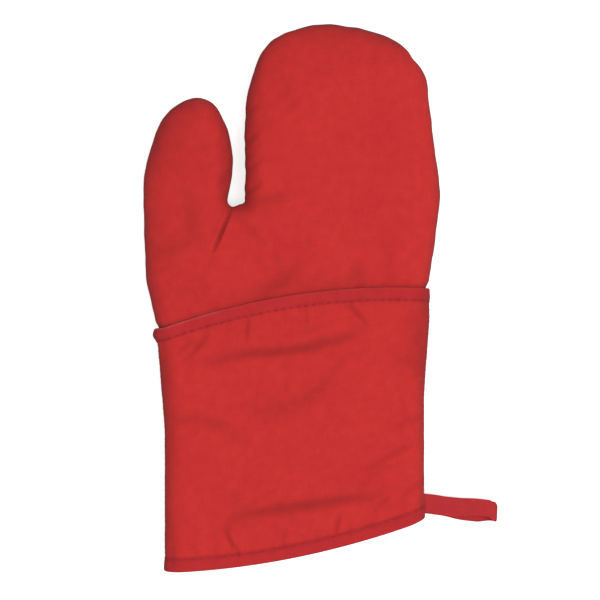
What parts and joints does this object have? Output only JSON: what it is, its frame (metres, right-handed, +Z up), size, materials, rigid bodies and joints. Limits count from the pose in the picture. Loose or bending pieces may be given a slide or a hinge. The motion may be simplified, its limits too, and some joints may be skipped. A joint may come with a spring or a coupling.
{
  "type": "oven mitt",
  "caption": "Padded cotton oven mitt with a finger pocket, a thumb, a long hemmed cuff and a tape hanging loop.",
  "frame": {"origin": "bottom centre of the bounding box of the mitt lying flat, hanging loop included", "axes": "+Y from the cuff's mouth to the fingertips, +Z up through the mitt's thickness, the thumb towards -X and the hanging loop towards +X"},
  "size_m": [0.1954, 0.3004, 0.026],
  "materials": {
    "red_cotton": "plain-weave cotton, matt",
    "cuff_cotton": "plain-weave cotton, matt",
    "tape": "woven cotton tape",
    "thread": "cotton sewing thread",
    "lining": "undyed cotton lining",
    "wadding": "needled polyester wadding"
  },
  "bodies": {
    "hand": {"hand_shell_front": "red_cotton", "hand_shell_back": "red_cotton", "hand_wadding_front": "wadding", "hand_wadding_back": "wadding", "hand_lining_front": "lining", "hand_lining_back": "lining", "hand_seam_thread": "thread", "cuff_front": "cuff_cotton", "cuff_back": "cuff_cotton", "cuff_seam_thread": "thread", "top_hem_stitches_front": "thread", "top_hem_stitches_back": "thread", "mouth_hem_stitches_front": "thread", "mouth_hem_stitches_back": "thread", "loop_tails": "tape"},
    "fingers": {"finger_shell_front": "red_cotton", "finger_shell_back": "red_cotton", "finger_wadding_front": "wadding", "finger_wadding_back": "wadding", "finger_lining_front": "lining", "finger_lining_back": "lining", "finger_seam_thread": "thread"},
    "thumb": {"thumb_shell_front": "red_cotton", "thumb_shell_back": "red_cotton", "thumb_wadding_front": "wadding", "thumb_wadding_back": "wadding", "thumb_lining_front": "lining", "thumb_lining_back": "lining", "thumb_seam_thread": "thread"},
    "loop": {"hanging_loop": "tape"}
  },
  "joints": [
    {"name": "finger_curl", "type": "hinge", "parent": "hand", "child": "fingers", "pos_m": [0.01045, 0.07145, 0.026], "axis": [1, 0, 0], "range_deg": [0, 65], "stiffness_Nm_per_rad": 0.02},
    {"name": "thumb_flex", "type": "hinge", "parent": "hand", "child": "thumb", "pos_m": [-0.05603, 0.05693, 0.026], "axis": [0.7071, 0.7071, 0], "range_deg": [0, 50], "stiffness_Nm_per_rad": 0.01},
    {"name": "loop_swing", "type": "hinge", "parent": "hand", "child": "loop", "pos_m": [0.05815, -0.11325, 0.013], "axis": [-0.1392, -0.9903, 0], "range_deg": [-65, 95]}
  ]
}
